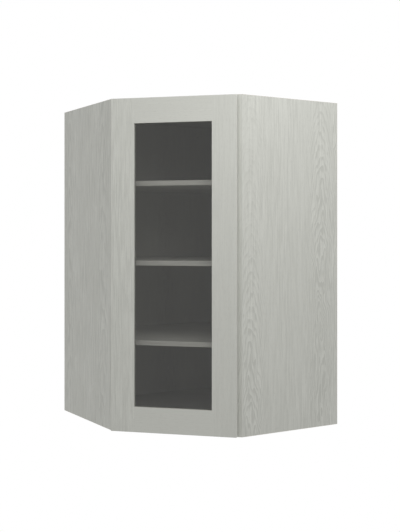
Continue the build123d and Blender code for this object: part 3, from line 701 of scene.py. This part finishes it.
def painted_wood(pen, paint, board, place, size):
    """Colour, roughness and relief of painted open-grained wood with lighter edges, partly worn paint and
    partly a painted highlight.
    """
    grain = pen.group(
        "Wood grain",
        {"Place": place, "Leaf": board.leaf, "Heart": board.heart, "Ring spacing": paint.ring,
         "Crowding": CROWDING, "Taper": TAPER, "Flame": PAINT_FLAME, "Seed": board.seed},
    )
    edges = pen.group(
        "Edge wear and highlight", {"Place": place, "Size": size, "Width": paint.rub_and_highlight_width, "Seed": board.seed}
    )
    tone = pen.maths("SUBTRACT", grain["Tone"], HALF)
    changes = pen.total(
        ((grain["Lines"], board.contrast), (grain["Heartwood"], HEART_SHARE), (tone, TONE_SHARE))
    )
    share = pen.maths("ADD", changes, MIDDLE_SHARE)
    colour = pen.blend(share, rgba(paint.light), rgba(paint.dark))
    colour = pen.blend(pen.maths("MULTIPLY", grain["Pores"], PORE_STRENGTH), colour, rgba(paint.pore))
    # Lighter edges: partly paint rubbed thin, partly a painted highlight where the sharp edges would catch
    # the light
    colour = pen.blend(pen.maths("MULTIPLY", edges["Wear and highlight"], RUB_AND_HIGHLIGHT_STRENGTH), colour, rgba(paint.rub_and_highlight))
    dullness = pen.spread(grain["Tone"], paint.roughness - TONE_SMOOTHER, paint.roughness + TONE_ROUGHER)
    dullness = pen.maths("MULTIPLY_ADD", grain["Pores"], PORE_ROUGHER, dullness)
    height = pen.total(
        ((grain["Pores"], PORE_SINK), (grain["Rings"], RING_RISE), (grain["Fibre"], FIBRE_RISE))
    )
    return colour, dullness, height


def paint_board(context, node, cuts=(), faces=()):
    """Painted wood on one board. The edges in the planes of cuts show the ply core, and the surfaces in
    the planes of faces show the ply's unpainted outer veneer."""
    bare = context.scene.cabinet_bare_wood
    board = BOARDS[node]
    material, pen, shader = start_material(f"{node}_paint")
    place, size = board_place(pen, node, board.axes)
    colour, dullness, height = painted_wood(pen, context.scene.cabinet_paint, board, place, size)
    unpainted = []
    if cuts:
        plies = {"Ply": bare.ply, "Pale": rgba(bare.ply_light), "Dark": rgba(bare.ply_dark)}
        core = pen.group("Ply core", {"Place": place, **plies})
        unpainted.append((cut_mask(pen, cuts), core["Colour"]))
    if faces:
        across, depth, _ = board.heart
        veneer, _ = bare_wood(pen, bare, place, (across, depth, VENEER_DIP), VENEER_RING, board.seed)
        unpainted.append((cut_mask(pen, faces), veneer))
    for mask, wood in unpainted:
        colour = pen.blend(mask, colour, wood)
        dullness = pen.maths("MAXIMUM", dullness, pen.maths("MULTIPLY", mask, bare.roughness))
    pen.feed(shader.inputs, {"Base Color": colour, "Roughness": dullness})
    add_relief(pen, shader, height, GRAIN_DEPTH, GRAIN_STRENGTH)
    dress(node, material)


DULL_SHARE, LINE_SHARE, SPECK_SHARE = 0.6, 0.25, 0.3  # shares of the dulled colour that each brings
LINE_SMOOTHER, LINE_ROUGHER = 0.06, 0.08  # how far the polishing lines change the roughness each way
DULL_ROUGHER = 0.1
LINE_DEPTH = 0.00003  # of the polishing lines, in metres
LINE_STRENGTH = 0.3


def metal_finish(name, bright, dull, roughness):
    """Plated and lightly brushed metal between a bright and a dulled colour."""
    material, pen, shader = start_material(name)
    plate = pen.group("Plated metal", {"Place": object_place(pen)})
    share = pen.total(
        ((plate["Dull"], DULL_SHARE), (plate["Lines"], LINE_SHARE), (plate["Specks"], SPECK_SHARE))
    )
    rough = pen.spread(plate["Lines"], roughness - LINE_SMOOTHER, roughness + LINE_ROUGHER)
    rough = pen.maths("MULTIPLY_ADD", plate["Dull"], DULL_ROUGHER, rough)
    colour = pen.blend(share, rgba(bright), rgba(dull))
    pen.feed(shader.inputs, {"Base Color": colour, "Roughness": rough, "Metallic": FULL})
    add_relief(pen, shader, plate["Lines"], LINE_DEPTH, LINE_STRENGTH)
    return material


def nickel_finish(context):
    """Nickel plate, made once and shared by all plated pieces."""
    metal = context.scene.cabinet_metal
    made = bpy.data.materials.get("nickel_plate")
    return made or metal_finish("nickel_plate", metal.nickel, metal.nickel_dark, metal.roughness)


def ring_walls(rings, turns):
    """Walls between neighbouring rings of points, with each point's number and the next one's round."""
    index = np.arange(rings * turns).reshape(rings, turns)
    after = np.roll(index, -1, axis=1)
    walls = np.stack([index[:-1], index[1:], after[1:], after[:-1]], axis=2).reshape(-1, 4)
    return walls, index, after


def fan(hub, ring, after):
    """Triangles from a hub to each stretch of a ring."""
    return np.stack([np.full(len(ring), hub), ring, after], axis=1)


def link_mesh(name, points, faces, material):
    """A new object at the origin, with its place in its mesh."""
    mesh = bpy.data.meshes.new(name)
    mesh.from_pydata(points.reshape(-1, 3).tolist(), [], faces)
    mesh.update()
    mesh.materials.append(material)
    thing = bpy.data.objects.new(name, mesh)
    bpy.context.scene.collection.objects.link(thing)
    return thing


# Hinge screws, with lengths in metres
HEAD_RADIUS = 0.0035
SHANK_RADIUS = 0.00175
FLANGE_DEPTH = 0.0014  # height of the countersunk head
PAN_HEIGHT = 0.0016
DOME_POWER = 3  # higher for a pan head that is flatter on top
RECESS_RADIUS = 0.0021  # reach of the cross recess
RECESS_WIDTH = 0.0011
RECESS_DEPTH = 0.0011
RECESS_WALL = 0.0003  # width over which the recess's walls drop
THREAD_PITCH = 0.0013
THREAD_ROOT = 0.0012  # radius at the bottom of the thread
POINT_LENGTH = 0.004
POINT_POWER = 0.6  # lower for a fuller point
SCREW_TURNS = 48  # points round a screw
HEAD_RINGS = 22
SHANK_RINGS = 72


def screw_surface(crown, seat, point):
    """One wood screw as a grid of rings by turns, with its axis on z, its head up and its rim at 0.

    The rings run from the middle of the head's top to its rim, then to the shank at the seat and down
    to the point. The top is the crown's height times the root of one less the cube of the share of the
    radius. It drops by the depth of a cross: a point lies in an arm of the cross if it is within half
    the arm's width of its middle line and within its reach. On the shank the radius rises from the root
    to the crest where the height over the pitch, less the turn, is near a whole number."""
    turn = np.arange(SCREW_TURNS) * 2 * np.pi / SCREW_TURNS
    share = np.linspace(0, 1, HEAD_RINGS)[1:, None]
    radius = HEAD_RADIUS * share + 0 * turn
    x, y = radius * np.cos(turn), radius * np.sin(turn)
    narrow = np.minimum(np.abs(x), np.abs(y))
    inside = np.clip((RECESS_WIDTH / 2 - narrow) / RECESS_WALL, 0, 1)
    within = np.clip((RECESS_RADIUS - radius) / RECESS_WALL, 0, 1)
    dome = crown * np.sqrt(1 - share**DOME_POWER)
    head = np.stack([x, y, dome - RECESS_DEPTH * inside * within], axis=2)
    height = np.linspace(seat, point, SHANK_RINGS)[:-1, None] + 0 * turn
    wind = height / THREAD_PITCH - turn / (2 * np.pi)
    ridge = 1 - 2 * np.abs(wind - np.round(wind))
    thread = THREAD_ROOT + (SHANK_RADIUS - THREAD_ROOT) * ridge**2
    thread = thread * np.clip((height - point) / POINT_LENGTH, 0, 1) ** POINT_POWER
    shank = np.stack([thread * np.cos(turn), thread * np.sin(turn), height], axis=2)
    return np.concatenate([head, shank], axis=0)


def screw_piece(context, name, node, body, places, axes, crown, seat, point):
    """Like screws at several places, each closed by a fan in its recess and one at its point."""
    surface = screw_surface(crown, seat, point)
    rings, turns, _ = surface.shape
    ends = [[0, 0, crown - RECESS_DEPTH], [0, 0, point]]
    local = np.concatenate([surface.reshape(-1, 3), ends])
    points = np.array(places)[:, None] + local @ np.array(axes)
    walls, index, after = ring_walls(rings, turns)
    recess = fan(rings * turns, index[0], after[0])
    tip = fan(rings * turns + 1, after[-1], index[-1])
    starts = range(0, len(places) * len(local), len(local))
    faces = [face for start in starts for part in (walls, recess, tip) for face in (part + start).tolist()]
    piece = link_mesh(name, points, faces, nickel_finish(context))
    piece.data.shade_smooth()
    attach(piece, body)
    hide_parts(node)


def screw_heights(node):
    """Heights of the screws above and below each hinge, from the lowest screw of their node."""
    hinges = [sum(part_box(f"{level}_hinge_cup"), Vector()).z / 2 for level in LEVELS]
    spread = hinges[0] - (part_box(node)[0].z + HEAD_RADIUS)
    return [height + side * spread for height in hinges for side in (-1, 1)]


class CABINET_OT_finish_groups(bpy.types.Operator):
    """Builds the shared node groups for grain, edges that are worn, grimy or carry a painted highlight, ply
    and plated metal
    """

    bl_idname = "cabinet.finish_groups"
    bl_label = "Finish groups"

    def execute(self, context):
        make_grain_group()
        make_edge_group()
        make_ply_group()
        make_metal_group()
        return {"FINISHED"}


# Cut planes: a normal and its distance from zero
ENDS_CUT = ((UP, CAD_BOX[1].z), (-UP, -CAD_BOX[0].z))
LEFT_WALL_CUT = (-X_AXIS, 0.0)
RIGHT_WALL_CUT = (Y_AXIS, 0.0)


class CABINET_OT_side_panels(bpy.types.Operator):
    """Paints the two side panels, with bare ply on the edges against the walls and at both ends"""

    bl_idname = "cabinet.side_panels"
    bl_label = "Side panels"

    def execute(self, context):
        paint_board(context, "left_side_panel", cuts=(*ENDS_CUT, LEFT_WALL_CUT))
        paint_board(context, "right_side_panel", cuts=(*ENDS_CUT, RIGHT_WALL_CUT))
        return {"FINISHED"}


class CABINET_OT_decks(bpy.types.Operator):
    """Paints the top and bottom decks, with bare ply on the wall edges and on top of the top deck"""

    bl_idname = "cabinet.decks"
    bl_label = "Decks"

    def execute(self, context):
        wall_cuts = (LEFT_WALL_CUT, RIGHT_WALL_CUT)
        top_face = (UP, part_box("top_deck")[1].z)
        paint_board(context, "top_deck", wall_cuts, faces=(top_face,))
        paint_board(context, "bottom_deck", wall_cuts)
        return {"FINISHED"}


class CABINET_OT_back_panels(bpy.types.Operator):
    """Paints the inner faces of the back panels and leaves their rear faces bare"""

    bl_idname = "cabinet.back_panels"
    bl_label = "Back panels"

    def execute(self, context):
        left_rear = (-X_AXIS, -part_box("left_back_panel")[0].x)
        right_rear = (Y_AXIS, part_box("right_back_panel")[1].y)
        paint_board(context, "left_back_panel", faces=(left_rear,))
        paint_board(context, "right_back_panel", faces=(right_rear,))
        return {"FINISHED"}


class CABINET_OT_hanging_rails(bpy.types.Operator):
    """Gives the hanging rails and corner cleats their planed softwood"""

    bl_idname = "cabinet.hanging_rails"
    bl_label = "Hanging rails and cleats"

    def execute(self, context):
        for side in SIDES:
            bare_board(context, f"{side}_lower_hanging_rail")
            bare_board(context, f"{side}_upper_hanging_rail")
            bare_board(context, f"{side}_corner_cleat")
        return {"FINISHED"}


class CABINET_OT_face_frame(bpy.types.Operator):
    """Paints the stiles and rails of the face frame"""

    bl_idname = "cabinet.face_frame"
    bl_label = "Face frame"

    def execute(self, context):
        for name in FRAME_BOARDS:
            paint_board(context, f"frame_{name}")
        return {"FINISHED"}


class CABINET_OT_shelves(bpy.types.Operator):
    """Paints the three shelves"""

    bl_idname = "cabinet.shelves"
    bl_label = "Shelves"

    def execute(self, context):
        for level in LEVELS:
            paint_board(context, f"{level}_shelf")
        return {"FINISHED"}


class CABINET_OT_shelf_pins(bpy.types.Operator):
    """Gives the shelf pins their nickel plate"""

    bl_idname = "cabinet.shelf_pins"
    bl_label = "Shelf pins"

    def execute(self, context):
        for level in LEVELS:
            dress(f"{level}_shelf_pins", nickel_finish(context))
        return {"FINISHED"}


class CABINET_OT_door_frame(bpy.types.Operator):
    """Paints the stiles and rails of the door"""

    bl_idname = "cabinet.door_frame"
    bl_label = "Door frame"

    def execute(self, context):
        for name in FRAME_BOARDS:
            paint_board(context, f"door_{name}")
        return {"FINISHED"}


class CABINET_OT_glazing_beads(bpy.types.Operator):
    """Paints the four beads that hold the pane"""

    bl_idname = "cabinet.glazing_beads"
    bl_label = "Glazing beads"

    def execute(self, context):
        for side in ("bottom", "top", *SIDES):
            paint_board(context, f"{side}_glazing_bead")
        return {"FINISHED"}


SMEARS = Marks((14.0, 14.0, 6.0), BROKEN, 0.45, 0.75)
CLEAN_ROUGH, SMEAR_ROUGH = 0.0, 0.03  # roughness of the pane between its smears and on them


class CABINET_OT_glass(bpy.types.Operator):
    """Gives the pane its clear grey glass, with faint smears, which lets the lamps through"""

    bl_idname = "cabinet.glass"
    bl_label = "Glass pane"

    def execute(self, context):
        glass = context.scene.cabinet_glass
        material, pen, shader = start_material("pane_glass")
        smears = pen.marks(object_place(pen), SMEARS)
        rough = pen.spread(smears, CLEAN_ROUGH, SMEAR_ROUGH)
        pen.feed(shader.inputs, {"Base Color": rgba(glass.tint), "Roughness": rough})
        pen.feed(shader.inputs, {"IOR": glass.ior, "Transmission Weight": FULL})
        passing = rgba([math.sqrt(part) for part in glass.tint])
        open_pane = pen.add("ShaderNodeBsdfTransparent", {"Color": passing})
        rays = pen.rays()
        surface = pen.mix_shaders(rays["Is Diffuse Ray"], shader.outputs["BSDF"], open_pane)
        surface = pen.mix_shaders(rays["Is Shadow Ray"], surface, open_pane)
        pen.feed(material.node_tree.nodes["Material Output"].inputs, {"Surface": surface})
        dress("glass_pane", material)
        return {"FINISHED"}


CLOUDS = Marks((700.0, 700.0, 700.0), BROKEN, 0.35, 0.7)
CLOUD_SHADE = 0.8  # darkening of the bumpers where they are cloudy
CLEAR_ROUGH, CLOUD_ROUGH = 0.3, 0.5
CLOUD_DEPTH = 0.00005  # relief of the bumpers, in metres
CLOUD_STRENGTH = 0.3
BUMPER_CLEARNESS = 0.35


class CABINET_OT_bumpers(bpy.types.Operator):
    """Gives the bumpers their soft, cloudy clear plastic"""

    bl_idname = "cabinet.bumpers"
    bl_label = "Bumpers"

    def execute(self, context):
        clear = Vector(context.scene.cabinet_glass.bumper)
        material, pen, shader = start_material("soft_bumper")
        clouds = pen.marks(object_place(pen), CLOUDS)
        colour = pen.blend(clouds, rgba(clear), rgba(CLOUD_SHADE * clear))
        rough = pen.spread(clouds, CLEAR_ROUGH, CLOUD_ROUGH)
        pen.feed(shader.inputs, {"Base Color": colour, "Roughness": rough})
        pen.feed(shader.inputs, {"Transmission Weight": BUMPER_CLEARNESS})
        add_relief(pen, shader, clouds, CLOUD_DEPTH, CLOUD_STRENGTH)
        dress("door_bumpers", material)
        return {"FINISHED"}


SPRING_SHADE = 0.6  # darkening of the springs where they are dulled


class CABINET_OT_hinges(bpy.types.Operator):
    """Gives the hinge cups, arms and pins their nickel plate and the springs their blued steel"""

    bl_idname = "cabinet.hinges"
    bl_label = "Hinges"

    def execute(self, context):
        metal = context.scene.cabinet_metal
        dark = SPRING_SHADE * Vector(metal.spring)
        for level in LEVELS:
            dress(f"{level}_hinge_cup", nickel_finish(context))
            dress(f"{level}_hinge_arm", nickel_finish(context))
        dress("hinge_pins", nickel_finish(context))
        dress("hinge_springs", metal_finish("spring_steel", metal.spring, dark, metal.roughness))
        return {"FINISHED"}


class CABINET_OT_cup_screws(bpy.types.Operator):
    """Makes the countersunk cross-head screws of the hinge cups, in place of their plain solids"""

    bl_idname = "cabinet.cup_screws"
    bl_label = "Cup screws"

    def execute(self, context):
        node = "hinge_cup_screws"
        (left, _, rear), (right, _, front) = extent(node, (ALONG, UP, OUT))
        middle = ALONG * (left + right) / 2 + OUT * rear
        places = [middle + UP * height for height in screw_heights(node)]
        axes = (UP, ALONG, -OUT)
        screw_piece(context, "cup_screws", node, "door", places, axes, 0.0, -FLANGE_DEPTH, rear - front)
        return {"FINISHED"}


class CABINET_OT_arm_screws(bpy.types.Operator):
    """Makes the pan-head cross-head screws of the hinge arms, in place of their plain solids"""

    bl_idname = "cabinet.arm_screws"
    bl_label = "Arm screws"

    def execute(self, context):
        node = "hinge_arm_screws"
        (left, _, rear), (right, _, front) = extent(node, (ALONG, UP, OUT))
        rim = right - PAN_HEIGHT
        middle = ALONG * rim + OUT * (rear + front) / 2
        places = [middle + UP * height for height in screw_heights(node)]
        axes = (OUT, -UP, ALONG)
        screw_piece(context, "arm_screws", node, "carcass", places, axes, PAN_HEIGHT, 0.0, left - rim)
        return {"FINISHED"}


FLOOR_RINGS, FLOOR_TURNS = 24, 96
FLOOR_FADE = 0.6  # share of the floor's reach where its rim starts to fade
FLOOR_ROUGH = 0.8
MOTTLE_STRETCH = (3.0, 3.0, 3.0)
MOTTLE_SHADE = 0.96


def floor_finish(studio, middle):
    """Pale matt floor, faintly mottled, whose rim fades out into the white surroundings."""
    material, pen, shader = start_material("pale_floor")
    place = object_place(pen)
    pale = Vector(studio.floor)
    mottle = pen.noise(place, MOTTLE_STRETCH, CLOUDY)
    colour = pen.blend(mottle, rgba(pale), rgba(MOTTLE_SHADE * pale))
    from_middle = pen.vectors("SUBTRACT", place, (middle.x, middle.y, -studio.hang))
    away = pen.maths("DIVIDE", pen.vectors("LENGTH", from_middle), studio.floor_reach)
    lift = pen.maths("MULTIPLY", seen_rays(pen), studio.floor_lift)
    pen.feed(shader.inputs, {"Base Color": colour, "Roughness": FLOOR_ROUGH})
    pen.feed(shader.inputs, {"Alpha": pen.fade(away, 1.0, FLOOR_FADE)})
    pen.feed(shader.inputs, {"Emission Color": WHITE, "Emission Strength": lift})
    return material


def make_floor(studio, middle):
    """A round floor: rings at even steps out to the floor's reach, by turns."""
    turn = np.arange(FLOOR_TURNS) * 2 * np.pi / FLOOR_TURNS
    radius = studio.floor_reach * np.linspace(0, 1, FLOOR_RINGS)[1:, None]
    x, y = middle.x + radius * np.cos(turn), middle.y + radius * np.sin(turn)
    grid = np.stack([x, y, 0 * x - studio.hang], axis=2).reshape(-1, 3)
    points = np.concatenate([grid, [[middle.x, middle.y, -studio.hang]]])
    walls, index, after = ring_walls(*x.shape)
    hub = fan(len(grid), index[0], after[0])
    floor = link_mesh("floor", points, walls.tolist() + hub.tolist(), floor_finish(studio, middle))


def make_surroundings(studio):
    """White for the eye, mirrors and glass, and an even fill for everything that is lit."""
    world = bpy.data.worlds.new("studio")
    world.use_nodes = True
    bpy.context.scene.world = world
    pen = Pen(world.node_tree)
    fill = pen.add("ShaderNodeBackground", {"Color": WHITE, "Strength": studio.fill})
    seen = pen.add("ShaderNodeBackground", {"Color": WHITE, "Strength": FULL})
    mixed = pen.mix_shaders(seen_rays(pen), fill, seen)
    pen.feed(world.node_tree.nodes["World Output"].inputs, {"Surface": mixed})


def make_lamp(name, place, aim, power, size):
    """A square soft lamp that faces the cabinet."""
    lamp = bpy.data.lights.new(name, "AREA")
    lamp.shape = "SQUARE"
    lamp.size = size
    lamp.energy = power
    holder = bpy.data.objects.new(name, lamp)
    holder.location = place
    holder.rotation_euler = (aim - Vector(place)).to_track_quat("-Z", "Y").to_euler()
    bpy.context.scene.collection.objects.link(holder)


def make_camera(studio, middle):
    """A level camera on a circle round the middle of the plan."""
    data = bpy.data.cameras.new("camera")
    data.lens = studio.lens
    data.shift_x, data.shift_y = studio.shift
    camera = bpy.data.objects.new("camera", data)
    back = Vector((math.sin(studio.azimuth), -math.cos(studio.azimuth), 0))
    camera.location = middle + back * studio.distance + UP * studio.eye
    camera.rotation_euler = (math.pi / 2, 0, studio.azimuth)
    bpy.context.scene.collection.objects.link(camera)
    bpy.context.scene.camera = camera


class CABINET_OT_studio(bpy.types.Operator):
    """Lays the floor, hangs the lamps, whitens the surroundings and sets up the camera"""

    bl_idname = "cabinet.studio"
    bl_label = "Studio"

    def execute(self, context):
        studio = context.scene.cabinet_studio
        low, high = CAD_BOX
        centre = (low + high) / 2
        middle = Vector((centre.x, centre.y, low.z))
        make_floor(studio, middle)
        make_surroundings(studio)
        make_lamp("key_lamp", studio.key_place, centre, studio.key_power, studio.key_size)
        make_lamp("side_lamp", studio.side_place, centre, studio.side_power, studio.side_size)
        make_camera(studio, middle)
        context.scene.view_settings.view_transform = "Standard"
        return {"FINISHED"}


SETTINGS = {
    "cabinet_paint": PaintSettings,
    "cabinet_bare_wood": BareWoodSettings,
    "cabinet_metal": MetalSettings,
    "cabinet_glass": GlassSettings,
    "cabinet_studio": StudioSettings,
}
STEPS = (
    CABINET_OT_finish_groups,
    CABINET_OT_side_panels,
    CABINET_OT_decks,
    CABINET_OT_back_panels,
    CABINET_OT_hanging_rails,
    CABINET_OT_face_frame,
    CABINET_OT_shelves,
    CABINET_OT_shelf_pins,
    CABINET_OT_door_frame,
    CABINET_OT_glazing_beads,
    CABINET_OT_glass,
    CABINET_OT_bumpers,
    CABINET_OT_hinges,
    CABINET_OT_cup_screws,
    CABINET_OT_arm_screws,
    CABINET_OT_studio,
)


class CABINET_PT_sidebar(bpy.types.Panel):
    """Lists the settings and steps of the cabinet"""

    bl_idname = "CABINET_PT_sidebar"
    bl_label = "Corner wall cabinet"
    bl_space_type = "VIEW_3D"
    bl_region_type = "UI"
    bl_category = "Cabinet"

    def draw(self, context):
        for name, group in SETTINGS.items():
            box = self.layout.box()
            box.label(text=group.__doc__)
            settings = getattr(context.scene, name)
            for key in group.__annotations__:
                box.prop(settings, key)
        for step in STEPS:
            self.layout.operator(step.bl_idname)


def register():
    for cls in (*SETTINGS.values(), *STEPS, CABINET_PT_sidebar):
        bpy.utils.register_class(cls)
    for name, group in SETTINGS.items():
        setattr(bpy.types.Scene, name, PointerProperty(type=group))


def unregister():
    for name in SETTINGS:
        delattr(bpy.types.Scene, name)
    for cls in (CABINET_PT_sidebar, *reversed(STEPS), *SETTINGS.values()):
        bpy.utils.unregister_class(cls)


def main():
    register()
    for step in STEPS:
        family, name = step.bl_idname.split(".")
        getattr(getattr(bpy.ops, family), name)()


if __name__ == "__main__":
    main()
